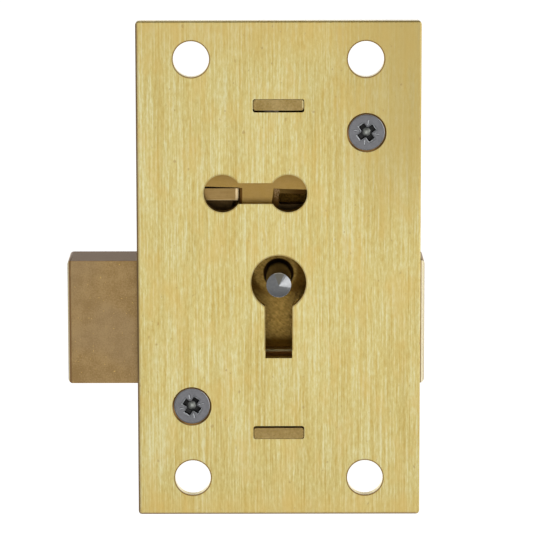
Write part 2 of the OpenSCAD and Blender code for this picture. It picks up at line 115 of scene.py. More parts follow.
@dataclass(frozen=True)
class Coat:
    """A colour over a part of a surface, which smooth steps along the axes keep in.

    A step of two numbers rises from 0 at the first to 1 at the second, which may be the lesser. One of four
    numbers also falls, from the third to the fourth.

    Attributes:
        colour: the coat's colour.
        share: how much it covers.
        x, y, z: steps along the axes.
        r: a step with the distance from a line along Y.
        centre: where that line is, across and up.
    """

    colour: Colour
    share: float = 1.0
    x: Steps = ()
    y: Steps = ()
    z: Steps = ()
    r: Steps = ()
    centre: Place = (0.0, 0.0)


@dataclass(frozen=True)
class Val:
    """A number socket of a shader or geometry tree that does arithmetic by adding Math nodes."""

    maker: "TreeMaker"
    socket: NodeSocket

    def __add__(self, other: Number) -> "Val":
        """Sum."""
        return self.maker.math("ADD", self, other)

    __radd__ = __add__

    def __sub__(self, other: Number) -> "Val":
        """Difference."""
        return self.maker.math("SUBTRACT", self, other)

    def __rsub__(self, other: Number) -> "Val":
        """Difference from a number."""
        return self.maker.math("SUBTRACT", other, self)

    def __mul__(self, other: Number) -> "Val":
        """Product."""
        return self.maker.math("MULTIPLY", self, other)

    __rmul__ = __mul__

    def __truediv__(self, other: Number) -> "Val":
        """Quotient."""
        return self.maker.math("DIVIDE", self, other)

    def rise(self, zero: float, one: float) -> "Val":
        """A smooth step.

        Args:
            zero: value at which the step is 0.
            one: value at which it is 1, greater or less than the other.

        Returns:
            The step's value.
        """
        values = {"Value": self, "From Min": min(zero, one), "From Max": max(zero, one)}
        risen = self.maker.val("ShaderNodeMapRange", values, "Result", interpolation_type="SMOOTHSTEP")
        return risen if zero < one else 1.0 - risen

    def inside(self, steps: Steps) -> "Val":
        """A coat's step of two or four numbers."""
        risen = self.rise(steps[0], steps[1])
        return risen * self.rise(steps[3], steps[2]) if len(steps) == 4 else risen

    def about(self, centre: float, spread: float) -> Number:
        """A pattern about 0.5 moved to be about another value, or that value where it has no spread."""
        return (self - 0.5) * spread + centre if spread else centre


class TreeMaker:
    """Builds one node tree."""

    def __init__(self, tree: NodeTree) -> None:
        """Keeps the tree to build in."""
        self.tree = tree

    def node(self, kind: str, values: dict[Any, Any] | None = None, **settings: Any) -> Node:
        """Adds a node, sets its settings, then its sockets.

        Args:
            kind: the node's type.
            values: values or links of its input sockets, by name or number.
            settings: the node's own properties; "stops" are the stops of a ramp.

        Returns:
            The node.
        """
        made = self.tree.nodes.new(kind)
        for name, value in settings.items():
            if name == "stops":
                self._set_stops(made.color_ramp, value)
            else:
                setattr(made, name, value)
        for key, value in (values or {}).items():
            self.feed(made.inputs[key], value)
        return made

    def feed(self, target: NodeSocket, value: Any) -> None:
        """Links a socket, or sets its value.

        Args:
            target: the input socket.
            value: a Val, a socket, or a plain value.
        """
        if isinstance(value, Val):
            self.tree.links.new(value.socket, target)
        elif isinstance(value, NodeSocket):
            self.tree.links.new(value, target)
        else:
            target.default_value = value

    def val(self, kind: str, values: dict[Any, Any], output: str | int = 0, **settings: Any) -> Val:
        """Adds a node and returns one of its outputs as a Val."""
        return Val(self, self.node(kind, values, **settings).outputs[output])

    def math(self, operation: str, a: Number, b: Number = 0.0) -> Val:
        """Adds a Math node on two numbers."""
        return self.val("ShaderNodeMath", {0: a, 1: b}, operation=operation)

    def rays(self, *kinds: str) -> Val:
        """How many of these kinds the present ray is, as Light Path names them."""
        path = self.node("ShaderNodeLightPath")
        first, *others = [Val(self, path.outputs[f"Is {kind} Ray"]) for kind in kinds]
        return sum(others, first)

    @staticmethod
    def _set_stops(ramp: ColorRamp, stops: Stops) -> None:
        """Gives a ramp its stops, each a place and a colour."""
        while len(ramp.elements) < len(stops):
            ramp.elements.new(1.0)
        for element, (place, colour) in zip(ramp.elements, stops):
            element.position = place
            element.color = (*colour, 1.0)


class Surface(TreeMaker):
    """The shader tree of one material, with places in millimetres and the colour and normal made so far."""

    def __init__(self, name: str) -> None:
        """Makes an empty material of that name."""
        self.material = bpy.data.materials.new(name)
        self.material.use_nodes = True
        super().__init__(self.material.node_tree)
        self.tree.nodes.clear()
        self.noises: dict[Grain, Val] = {}
        self.colour: Any = None
        self.normal: Any = None

    def mapped(self, scale: Triple, centre: Triple = (0.0, 0.0, 0.0), turn: float = 0.0) -> NodeSocket:
        """Object coordinates, moved to a centre and scaled, or turned and scaled.

        Args:
            scale: repeats in a millimetre along each axis.
            centre: the pattern's centre, for a pattern that isn't turned.
            turn: degrees that the pattern is turned about Y.

        Returns:
            The vector socket.
        """
        values: dict[str, Any] = {"Vector": self.place}
        if turn:
            values |= {"Rotation": (0.0, math.radians(turn), 0.0), "Scale": [MM / s for s in scale]}
        else:
            values |= {"Location": [-c * s for c, s in zip(centre, scale)], "Scale": [s / MM for s in scale]}
        return self.node("ShaderNodeMapping", values, vector_type="TEXTURE" if turn else "POINT").outputs[0]

    @cached_property
    def place(self) -> NodeSocket:
        """The object coordinates, in metres."""
        return self.node("ShaderNodeTexCoord").outputs["Object"]

    @cached_property
    def split(self) -> Node:
        """The node that splits the place in millimetres into X, Y and Z."""
        return self.node("ShaderNodeSeparateXYZ", {0: self.mapped((1.0, 1.0, 1.0))})

    def along(self, axis: str) -> Val:
        """Place along an axis of the lock's frame."""
        return Val(self, self.split.outputs[axis])

    def away(self, centre: Place) -> Val:
        """Distance from a line along Y."""
        vector = self.mapped((1.0, 0.0, 1.0), (centre[0], 0.0, centre[1]))
        return self.val("ShaderNodeVectorMath", {0: vector}, "Value", operation="LENGTH")

    def noise(self, grain: Grain) -> Val:
        """The noise of a grain, which is made once."""
        if grain not in self.noises:
            scale = grain.scale if isinstance(grain.scale, tuple) else (grain.scale,) * 3
            values = {"Vector": self.mapped(scale, turn=grain.turn), "W": grain.seed, "Scale": 1.0,
                      "Detail": grain.detail, "Roughness": grain.roughness}
            self.noises[grain] = self.val("ShaderNodeTexNoise", values, noise_dimensions="4D")
        return self.noises[grain]

    def tone(self, *grains: Grain) -> Val:
        """Sum of noise patterns, each by its weight."""
        first, *others = [self.noise(grain) * grain.weight for grain in grains]
        return sum(others, first)

    def spots(self, spots: Spots) -> Val:
        """Where a pattern rises over its threshold, by its weight."""
        return self.noise(spots).rise(*spots.over) * spots.weight

    def where(self, *coats: Coat) -> Val:
        """Sum of what coats cover.

        Args:
            coats: the coats, each with at least one step.

        Returns:
            For each coat its share where it lies and 0 elsewhere, added up.
        """
        total: Number = 0.0
        for coat in coats:
            mask: Number = coat.share
            for axis, steps in zip("XYZ", (coat.x, coat.y, coat.z)):
                if steps:
                    mask = self.along(axis).inside(steps) * mask
            if coat.r:
                mask = self.away(coat.centre).inside(coat.r) * mask
            total = mask + total
        return total

    def ramp(self, value: Val, stops: Stops) -> NodeSocket:
        """Colour of a value on a ramp of stops."""
        return self.node("ShaderNodeValToRGB", {"Fac": value}, stops=stops).outputs["Color"]

    def mixed(self, factor: Number, a: Any, b: Any) -> NodeSocket:
        """Colour a where the factor is 0 and b where it is 1."""
        made = self.node("ShaderNodeMix", {"Factor": factor}, data_type="RGBA")
        for target, colour in zip([s for s in made.inputs if s.type == "RGBA"], (a, b)):
            self.feed(target, (*colour, 1.0) if isinstance(colour, tuple) else colour)
        return [s for s in made.outputs if s.type == "RGBA"][0]

    def cover(self, share: Number, colour: Any) -> None:
        """Lays a colour over the present one by a share, which is held between 0 and 1."""
        self.colour = self.mixed(share, self.colour, colour)

    def lay(self, *coats: Coat, within: Number = 1.0) -> None:
        """Lays coats that have the first one's colour, and only within a mask."""
        self.cover(self.where(*coats) * within, coats[0].colour)

    def emboss(self, height: Val, strength: float, depth: float) -> None:
        """Adds the relief of a height pattern.

        Args:
            height: the pattern, from 0 to 1.
            strength: share of the bump.
            depth: its depth in millimetres.
        """
        values: dict[str, Any] = {"Strength": strength, "Distance": depth * MM, "Height": height}
        if self.normal is not None:
            values["Normal"] = self.normal
        self.normal = self.node("ShaderNodeBump", values).outputs[0]

    def metal(self, roughness: Number) -> Material:
        """Finishes the material as a bare metal of that roughness."""
        shader = self.node("ShaderNodeBsdfPrincipled", {"Base Color": self.colour, "Metallic": 1.0,
                                                        "Roughness": roughness, "Normal": self.normal})
        self.node("ShaderNodeOutputMaterial", {"Surface": shader.outputs[0]})
        return self.material


@dataclass(frozen=True)
class Metal:
    """A bare metal whose colour follows the tone of its grains.

    Attributes:
        name: the material's name.
        tones: the colours along the tone.
        grains: the patterns; the roughness follows the first and the relief the last.
        coats: coats that have one colour.
        roughness, rough_spread: the roughness and how much it varies.
        relief: strength and depth of the relief.
    """

    name: str
    tones: Stops
    grains: tuple[Grain, ...]
    coats: tuple[Coat, ...] = ()
    roughness: float = 0.4
    rough_spread: float = 0.16
    relief: Place = (0.3, 0.01)

    def height(self, s: Surface) -> Val:
        """The relief's pattern."""
        return s.noise(self.grains[-1])

    def tone(self, s: Surface, height: Val) -> Val:
        """The tone, which on some metals follows the relief."""
        return s.tone(*self.grains)

    def stain(self, s: Surface) -> None:
        """Lays the coats."""
        if self.coats:
            s.lay(*self.coats)

    def rough(self, s: Surface) -> Number:
        """The roughness."""
        return s.noise(self.grains[0]).about(self.roughness, self.rough_spread)

    def material(self) -> Material:
        """Builds the shader."""
        s = Surface(self.name)
        height = self.height(s)
        s.colour = s.ramp(self.tone(s, height), self.tones)
        s.emboss(height, *self.relief)
        self.stain(s)
        return s.metal(self.rough(s))


@dataclass(frozen=True)
class BrushedBrass(Metal):
    """Sheet brass brushed up and down, with streaks of several lengths, and painted shade on its edges and in its
    upper right part.
    """

    name: str = "brushed_brass"
    tones: Stops = ((0.41, (0.515, 0.37, 0.105)), (0.5, (0.635, 0.53, 0.21)), (0.59, (0.765, 0.715, 0.41)))
    grains: tuple[Grain, ...] = (
        Grain((4.6, 1.0, 0.11), 2.0, 0.75, 0.0, 0.37), Grain((2.2, 1.0, 0.035), 2.0, 0.65, 4.0, 0.2),
        Grain((0.24, 1.0, 0.06), 2.0, 0.6, 9.0, 0.13), Grain((3.8, 3.8, 0.95), 3.0, 0.7, 12.0, 0.3))
    warmth: Spots = Spots((0.35, 1.0, 0.16), 3.0, 0.6, 25.0, 0.4, over=(0.46, 0.66))
    specks: Spots = Spots((1.7, 1.7, 1.1), 1.0, 0.4, 20.0, 0.5, over=(0.69, 0.76))
    speck: Colour = (0.38, 0.24, 0.09)
    upper_end: Coat = Coat((0.66, 0.47, 0.15), 0.35, z=(25.0, 31.0))
    lower_end: Coat = Coat((0.66, 0.47, 0.15), 0.35, z=(-28.0, -31.5))
    # Painted shade: the upper right part of the plate is darker, as where less light falls.
    corner_painted_shade: Coat = Coat((0.495, 0.37, 0.128), 0.7, x=(3.0, 17.0), z=(0.0, 18.0))
    slot: Coat = Coat((0.85, 0.40, 0.09), 0.9, x=(-3.7, -3.6, 3.6, 3.7), y=(0.03, 0.08, 1.3, 1.4),
                      z=(20.3, 20.4, 23.0, 23.1))
    # Painted shade on the edges' roundings, left off at the right and top ends; the next two paint shade on the
    # left and lower sides.
    rim: Coat = Coat((0.24, 0.16, 0.08), 0.95, x=(17.8, 17.6), y=(0.002, 0.014, 0.2, 0.3), z=(31.7, 31.6))
    left_side_painted_shade: Coat = Coat((0.24, 0.16, 0.08), 0.52, x=(-17.66, -17.98))
    foot_painted_shade: Coat = Coat((0.24, 0.16, 0.08), 0.5, z=(-31.62, -31.9))
    cut: Steps = (0.12, 0.3)
    cut_smoother: float = 0.12
    # Painted shade on the holes' edges: here along the keyhole slot's sides, and round each hole within hem_r.
    hem: Coat = Coat((0.22, 0.12, 0.03), 0.6, x=(-1.89, -1.83, 1.83, 1.89), y=(0.3, 0.12),
                     z=(-10.46, -10.4, -3.0, -2.94))
    hem_r: Place = (0.195, 0.105)
    holes: tuple[Hole, ...] = ()
    sink: Coat = Coat((0.37, 0.19, 0.047), r=(2.48, 2.42))
    screws: tuple[Place, ...] = ()
    roughness: float = 0.36
    relief: Place = (0.4, 0.012)
    relief_mottle: float = 0.4

    def height(self, s: Surface) -> Val:
        """The finest streaks and the mottle."""
        return s.noise(self.grains[0]) * (1.0 - self.relief_mottle) + super().height(s) * self.relief_mottle

    def stain(self, s: Surface) -> None:
        """Colours the ends and the specks, paints shade in the upper right part, colours the tab slots, paints
        shade on the rim and the hems, and colours the screws' sinks.
        """
        s.cover(s.spots(self.warmth) + s.where(self.upper_end, self.lower_end), self.upper_end.colour)
        # Paints shade over the upper right part.
        s.lay(self.corner_painted_shade)
        s.cover(s.spots(self.specks), self.speck)
        slots = (self.slot, replace(self.slot, z=tuple(-z for z in reversed(self.slot.z))))
        s.lay(*slots)
        around = 1.0 - s.where(*(replace(slot, share=1.0, y=()) for slot in slots))
        # Paints shade on the roundings outside the tab slots and on the left and lower sides.
        s.cover(s.where(self.rim) * around + s.where(self.left_side_painted_shade, self.foot_painted_shade), self.rim.colour)
        # Paints shade on each hole's edge, and then on the keyhole slot's sides.
        for centre, radius, share in self.holes:
            edge = tuple(radius + r for r in self.hem_r)
            s.lay(Coat(self.hem.colour, share, y=self.hem.y, r=edge, centre=centre))
        s.lay(self.hem)
        for screw in self.screws:
            s.lay(replace(self.sink, centre=screw))

    def rough(self, s: Surface) -> Number:
        """Smoother in the cuts than on the brushed face."""
        return super().rough(s) - s.along("Y").inside(self.cut) * self.cut_smoother


@dataclass(frozen=True)
class CastBrass(Metal):
    """Brass as it comes from a sand mould, with grain, blotches and fine pits."""

    pits: Spots = Spots(5.44, 1.0, seed=7.0, weight=0.7, over=(0.66, 0.74))
    pit: Colour = (0.28, 0.17, 0.055)
    roughness: float = 0.46
    rough_spread: float = 0.2

    def height(self, s: Surface) -> Val:
        """The grain."""
        return s.noise(self.grains[0])

    def stain(self, s: Surface) -> None:
        """Colours the pits."""
        s.cover(s.spots(self.pits), self.pit)


@dataclass(frozen=True)
class CaseBrass(CastBrass):
    """The case's casting: coarse and richly coloured inside, with painted shadows on the keyhole's floor and
    painted shade in the pin's recess.
    """

    name: str = "cast_brass"
    tones: Stops = ((0.38, (0.46, 0.31, 0.095)), (0.62, (0.68, 0.50, 0.21)))
    grains: tuple[Grain, ...] = (Grain(3.2, 4.0, 0.6, weight=0.6), Grain(3.2 / 9, 2.0, seed=3.0, weight=0.4))
    relief: Place = (0.6, 0.07)
    inner_tones: Stops = ((0.40, (0.33, 0.19, 0.04)), (0.58, (0.72, 0.465, 0.125)))
    lumps: Grain = Grain((1.5, 1.5, 2.2), 4.0, 0.7, 31.0, 0.4)
    scratches: Grain = Grain((1 / 0.9, 1 / 0.9, 1 / 0.16), 2.0, 0.6, 17.0, 0.35, turn=38.0)
    grain_share: float = 0.25
    spatter: Spots = Spots((3.4, 3.4, 4.6), 1.0, 0.4, 52.0, 0.7, over=(0.66, 0.72))
    spatter_brown: Colour = (0.33, 0.19, 0.04)
    room: Coat = Coat((1.0, 1.0, 1.0), x=(-16.8, -16.6, 16.6, 16.8), y=(1.6, 2.4, 10.6, 10.7),
                      z=(-20.8, -20.6, 20.6, 20.8))
    inner_y: Steps = (6.0, 7.0)
    # Painted shadow of the plate's lower edge over the lower part of the keyhole's floor.
    corner: Coat = Coat((0.17, 0.075, 0.005), 0.9, z=(-9.5, -10.6))
    # Painted shade in the pin's recess.
    recess: Coat = Coat((0.17, 0.075, 0.005), 0.85, y=(7.35, 7.55), r=(2.1, 2.0))
    # Painted shadow of the keyhole's round edge: the floor is darker outside a circle set a little to the left.
    crescent_painted_shadow: Coat = Coat((0.17, 0.075, 0.005), 0.8, z=(-5.0, -3.5), r=(2.5, 3.1), centre=(-0.45, -1.3))
    # Painted shade: a near black ring at the foot of the pin's recess.
    ring: Coat = Coat((0.035, 0.016, 0.005), 0.7, r=(1.45, 1.6, 1.96, 2.06))
    recess_shade_share: float = 0.5
    tabs: tuple[Coat, ...] = (
        Coat((0.55, 0.30, 0.09), 0.8, y=(0.008, 0.04, 1.2, 1.5)),
        # Painted shade on the lower tab's front.
        Coat((0.33, 0.19, 0.04), 0.16, y=(0.6, 0.3), z=(-20.4, -20.8)),
        # Painted highlight at the upper tab's right end.
        Coat((1.0, 0.84, 0.42), x=(2.98, 3.04, 3.2, 3.26), y=(0.06, 0.02), z=(20.89, 20.95, 21.85, 21.91)))
    lump_relief: Place = (0.7, 0.12)
    pin: Place = (0.0, 0.0)

    def stain(self, s: Surface) -> None:
        """Colours the inside, paints shadows on the keyhole's floor and shade in and round the pin's recess, and
        colours the tabs, with painted shade on the lower one and a painted highlight on the upper one.
        """
        super().stain(s)
        tone = s.tone(self.lumps, self.scratches) + s.noise(self.grains[0]) * self.grain_share
        inner = s.mixed(s.spots(self.spatter), s.ramp(tone, self.inner_tones), self.spatter_brown)
        room = s.where(self.room)
        s.cover(room, inner)
        inside = s.along("Y").inside(self.inner_y) * room
        recess = replace(self.recess, centre=self.pin)
        # Paints the shadows on the floor and the shade in the pin's recess.
        s.lay(self.corner, recess, self.crescent_painted_shadow, within=inside)
        # Paints the ring and more shade in the pin's recess.
        s.lay(replace(self.ring, centre=self.pin), replace(recess, share=self.recess_shade_share), within=inside)
        for coat in self.tabs:
            s.lay(coat)
        s.emboss(s.noise(self.lumps), *self.lump_relief)


@dataclass(frozen=True)
class BoltBrass(CastBrass):
    """The bolt's casting, pinkish, with painted glints, painted highlights on its ends and painted shade behind
    the levers.
    """

    name: str = "bolt_brass"
    tones: Stops = ((0.425, (0.392, 0.251, 0.101)), (0.575, (0.505, 0.34, 0.152)))
    grains: tuple[Grain, ...] = (Grain(5.0, 4.0, 0.6, weight=0.6), Grain(5.0 / 9, 2.0, seed=3.0, weight=0.4))
    relief: Place = (0.6, 0.03)
    pits: Spots = Spots(8.5, 1.0, seed=7.0, weight=0.7, over=(0.66, 0.74))
    pit: Colour = (0.28, 0.15, 0.055)
    # Painted glints: small bright specks where light catches the casting.
    painted_glints: Spots = Spots(3.0, 2.0, seed=40.0, weight=0.7, over=(0.66, 0.71))
    glint_colour: Colour = (0.95, 0.68, 0.20)
    drift: Spots = Spots(0.12, 1.0, seed=44.0, weight=0.25, over=(0.42, 0.6))
    cool: Colour = (0.46, 0.34, 0.21)
    # Painted shade on the bolt's web behind the levers.
    painted_shade_behind_levers: Coat = Coat((0.09, 0.045, 0.010), 0.7, y=(2.5, 3.5), z=(2.0, 3.6))
    # Painted light: a brighter, redder colour on the web under the key opening, which lies in the plate's shadow.
    web_painted_light: Coat = Coat((0.85, 0.38, 0.08), 0.9, x=(-5.0, -4.0, 4.0, 5.0), y=(5.6, 5.7), z=(-11.2, -11.3))
    # Painted highlight: a pale line along the key opening's lower edge.
    sill_painted_highlight: Coat = Coat((1.0, 0.80, 0.38), x=(-5.0, -4.0, 4.0, 5.0), y=(5.6, 5.7),
                           z=(-11.71, -11.63, -11.3, -11.2))
    seam: Coat = Coat((0.28, 0.15, 0.055), 0.9, x=(-26.96, -26.90, -26.80, -26.62))
    # Painted shade along the bolt's top edge left of the plate.
    top_edge_painted_shade: Coat = Coat((0.28, 0.15, 0.055), 0.8, x=(-18.0, -18.5), z=(0.92, 0.98))
    # Painted highlights on the bolt's rounded ends.
    left_end_painted_highlight: Coat = Coat((0.92, 0.84, 0.60), 0.9, x=(-26.96, -27.01), y=(2.2, 1.9))
    right_end_painted_highlight: Coat = Coat((0.92, 0.84, 0.60), 0.9, x=(18.3, 18.4), y=(2.2, 1.9))

    def stain(self, s: Surface) -> None:
        """Colours the specks, paints glints, shade behind the levers, light and a highlight at the key opening's
        lower edge, shade on the top edge and highlights on the ends, and colours the seam.
        """
        super().stain(s)
        # Paints the glints.
        s.cover(s.spots(self.painted_glints), self.glint_colour)
        s.cover(s.spots(self.drift), self.cool)
        # Paints shade behind the levers, light on the shaded web under the key opening and a highlight along its
        # lower edge.
        for coat in (self.painted_shade_behind_levers, self.web_painted_light, self.sill_painted_highlight):
            s.lay(coat)
        s.lay(self.seam, self.top_edge_painted_shade)
        # Paints the highlights on the ends.
        s.lay(self.left_end_painted_highlight, self.right_end_painted_highlight)


@dataclass(frozen=True)
class FrontLeverBrass(Metal):
    """The front lever: rolled brass whose pocket edges are sheared and rough, with painted shade in and round its
    pockets.
    """

    name: str = "front_lever_brass"
    tones: Stops = ((0.38, (0.348, 0.217, 0.056)), (0.62, (0.442, 0.283, 0.089)))
    grains: tuple[Grain, ...] = (
        Grain(0.7, 2.0, seed=5.0, weight=0.5), Grain((0.5, 3.0, 6.0), roughness=0.6, weight=0.2),
        Grain(6.0, roughness=0.7, seed=8.0, weight=0.3))
    relief: Place = (0.3, 0.02)
    # Painted shade on all that lies behind the lever's face.
    sunk: Coat = Coat((0.09, 0.036, 0.006), 0.9, y=(1.84, 1.9))
    # Painted light on the upper left of that shade.
    sunk_lit: Coat = Coat((0.20, 0.12, 0.03), x=(3.0, 0.2), z=(8.6, 10.1))
    sunk_rougher: float = 0.2
    torn: Coat = Coat((0.46, 0.30, 0.15), x=(-0.57, -0.52, 0.12, 0.20), y=(1.84, 1.9), z=(8.4, 9.9))
    torn_over: Steps = (0.40, 0.58)
    shade: Coat = Coat((0.20, 0.12, 0.03), 0.3, z=(10.7, 12.3))
    # Painted shade in the left pocket, round the stump.
    edge: Coat = Coat((0.09, 0.036, 0.006), 0.9, x=(-6.03, -6.0, -4.66, -4.63), z=(5.97, 6.0, 10.42, 10.45))

    def stain(self, s: Surface) -> None:
        """Paints shade, lighter at its upper left, on what lies behind the face, colours the torn strip, and
        paints the shade at the window's top and in the left pocket.
        """
        # Paints the shade behind the face, with its lighter part.
        s.cover(s.where(self.sunk), s.mixed(s.where(self.sunk_lit), self.sunk.colour, self.sunk_lit.colour))
        s.lay(self.torn, within=self.height(s).inside(self.torn_over))
        s.lay(self.shade)
        # Paints the shade in the left pocket.
        s.lay(self.edge)

    def rough(self, s: Surface) -> Number:
        """Rougher where it is sunk."""
        return super().rough(s) + s.along("Y").inside(self.sunk.y) * self.sunk_rougher


@dataclass(frozen=True)
class TurnedMetal(Metal):
    """A turned piece: fine rings about an axis along Y, dust, and painted shade on its underside by a share."""

    grains: tuple[Grain, ...] = (Grain(3.0, roughness=0.6, seed=2.0, weight=0.75),)
    roughness: float = 0.24
    rough_spread: float = 0.12
    relief: Place = (0.12, 0.004)
    axis: Place = (0.0, 0.0)
    wobble: Grain = Grain((1.2, 3.0, 1.2), detail=2.0, weight=0.3)
    rings_per_mm: float = 9.0
    under: float = 0.0
    under_z: Place = (-0.2, -1.3)
    under_dim: float = 0.55

    def height(self, s: Surface) -> Val:
        """The rings."""
        turns = (s.away(self.axis) + s.tone(self.wobble)) * (self.rings_per_mm * math.tau)
        return s.math("SINE", turns) * 0.5 + 0.5

    def tone(self, s: Surface, height: Val) -> Val:
        """The rings and the dust."""
        return height * (1.0 - self.grains[0].weight) + super().tone(s, height)

    def stain(self, s: Surface) -> None:
        """Paints shade on the underside."""
        if self.under:
            dim = tuple(c * self.under_dim for c in self.tones[0][1])
            s.lay(Coat(dim, self.under, z=tuple(self.axis[1] + z for z in self.under_z)))


@dataclass(frozen=True)
class DrillPinSteel(TurnedMetal):
    """The drill pin's steel, with painted shade on its shank and on the upper facets of its point."""

    # Painted shade on the pin's shank.
    shank: Coat = Coat((0.072, 0.042, 0.015), 0.85, y=(-1.72, -1.2, 10.5, 10.7))
    # Painted shade on the point's upper facets, in a brownish wedge that opens upwards.
    point: Coat = Coat((0.51, 0.475, 0.38), 0.85, y=(-1.74, -1.78))
    point_slope: Steps = (-0.4, -0.32, 0.4, 0.55)
    point_up: Steps = (0.0, 0.15)

    def stain(self, s: Surface) -> None:
        """Paints shade on the underside, on the shank, and on the point in a wedge that opens upwards."""
        super().stain(s)
        up = s.along("Z") - self.axis[1]
        slope = (s.along("X") - self.axis[0]) / s.math("MAXIMUM", up, MM)
        # Paints shade in the wedge on the point.
        s.lay(self.point, within=slope.inside(self.point_slope) * up.inside(self.point_up))
        # Paints the shade on the shank.
        s.lay(self.shank)


@dataclass(frozen=True)
class ZincPlate(Metal):
    """Grey zinc plating on a steel screw, with painted shade in the recess's arms, a painted highlight in its pit
    and painted highlights on its edges.
    """

    name: str = "zinc_plate"
    tones: Stops = ((0.36, (0.131, 0.131, 0.138)), (0.64, (0.188, 0.188, 0.199)))
    grains: tuple[Grain, ...] = (Grain(1.4, roughness=0.6, weight=0.7), Grain(9.0, 2.0, 0.6, 6.0, 0.3))
    # Painted highlights: a pale band on the shallow parts of the face, the rim, the recess's brink and the marks.
    coats: tuple[Coat, ...] = (Coat((0.66, 0.68, 0.70), 0.8, y=(0.184, 0.194, 0.24, 0.27)),)
    roughness: float = 0.32
    rough_spread: float = 0.12
    relief: Place = (0.2, 0.008)
    # Painted shade: the recess's arms near black.
    arms: Coat = Coat((0.03, 0.029, 0.027), 0.9, y=(0.26, 0.4, 0.95, 1.05), r=(0.58, 0.68, 1.5, 1.6))
    # Painted highlight: a lighter grey at the bottom of the pit.
    pit_painted_highlight: Coat = Coat((0.44, 0.46, 0.41), 0.6, y=(1.05, 0.95), r=(0.6, 0.5))
    screws: tuple[Place, ...] = ()

    def stain(self, s: Surface) -> None:
        """Paints shade in each screw's arms and a highlight in its pit, and then highlights on the edges."""
        for screw in self.screws:
            # Paints the shade in the arms and the highlight in the pit.
            for coat in (self.arms, self.pit_painted_highlight):
                s.lay(replace(coat, centre=screw))
        # Paints the highlights on the edges.
        super().stain(s)


def placed(name: str, data: Any) -> Object:
    """Puts a new object in the scene and returns it."""
    obj = bpy.data.objects.new(name, data)
    bpy.context.scene.collection.objects.link(obj)
    return obj


def plain_mesh(obj: Object) -> Object:
    """Turns an object's modifiers into its mesh.

    Args:
        obj: the object whose modifiers are used up.

    Returns:
        The same object, with a plain mesh.
    """
    graph = bpy.context.evaluated_depsgraph_get()
    made = bpy.data.meshes.new_from_object(obj.evaluated_get(graph), preserve_all_data_layers=True,
                                           depsgraph=graph)
    obj.modifiers.clear()
    obj.data = made
    made.name = obj.name
    return obj


def step(value: float, width: float) -> float:
    """A smooth step from 0 at zero to 1 at a width."""
    t = min(1.0, max(0.0, value / width))
    return t * t * (3.0 - 2.0 * t)


def middle(node: str) -> Place:
    """Middle of a CAD node, in millimetres across and up."""
    low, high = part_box(node)
    return ((low.x + high.x) / 2 / MM, (low.z + high.z) / 2 / MM)


def keep_only(obj: Object, material: Material) -> None:
    """Gives a piece one material.

    Args:
        obj: the piece.
        material: its finish.
    """
    obj.data.materials.clear()
    obj.data.materials.append(material)
    for polygon in obj.data.polygons:
        polygon.material_index = 0


def seat(obj: Object, body: str, slot: str, material: Material, *nodes: str) -> None:
    """Dresses a finished piece and puts it on its body in place of CAD nodes.

    Args:
        obj: the piece.
        body: the CAD body that it moves with.
        slot: the record's material slot, which is not used.
        material: its finish.
        nodes: the CAD nodes that it stands for.
    """
    keep_only(obj, material)
    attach(obj, body)
    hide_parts(*nodes)
    log.info("%s: %d faces on %s", obj.name, len(obj.data.polygons), body)


class GeometryTree(TreeMaker):
    """A Geometry Nodes tree with named inputs, used up into one plain mesh."""

    sharp: float = 40.0

    def __init__(self, name: str) -> None:
        """Makes the tree with its geometry input and output."""
        super().__init__(bpy.data.node_groups.new(name, "GeometryNodeTree"))
        for way in ("INPUT", "OUTPUT"):
            self.tree.interface.new_socket("Geometry", in_out=way, socket_type="NodeSocketGeometry")
        self.inlet = self.node("NodeGroupInput")
        self.entries: dict[str, str] = {}

    def entry(self, name: str, kind: str = "Float") -> NodeSocket:
        """Adds a named input and returns its socket inside the tree."""
        made = self.tree.interface.new_socket(name, in_out="INPUT", socket_type=f"NodeSocket{kind}")
        self.entries[name] = made.identifier
        return self.inlet.outputs[name]

    def grown(self, piece: str, geometry: NodeSocket, values: dict[str, Any], mesh: Mesh) -> Object:
        """Runs the tree on a mesh and keeps the result as a plain piece.

        Args:
            piece: the new piece's name.
            geometry: the tree's result before it is made real.
            values: value of each named input, of which "Finish" is the material.
            mesh: the mesh that goes in.

        Returns:
            The piece, which isn't on a body yet.
        """
        finish = self.entry("Finish", "Material")
        real = self.node("GeometryNodeRealizeInstances", {"Geometry": geometry})
        dressed = self.node("GeometryNodeSetMaterial", {"Geometry": real.outputs[0], "Material": finish})
        self.node("NodeGroupOutput", {"Geometry": dressed.outputs[0]})
        obj = placed(piece, mesh)
        modifier = obj.modifiers.new("growth", "NODES")
        modifier.node_group = self.tree
        for name, value in values.items():
            modifier[self.entries[name]] = value
        plain_mesh(obj)
        obj.data.polygons.foreach_set("use_smooth", [True] * len(obj.data.polygons))
        obj.data.set_sharp_from_angle(angle=math.radians(self.sharp))
        return obj


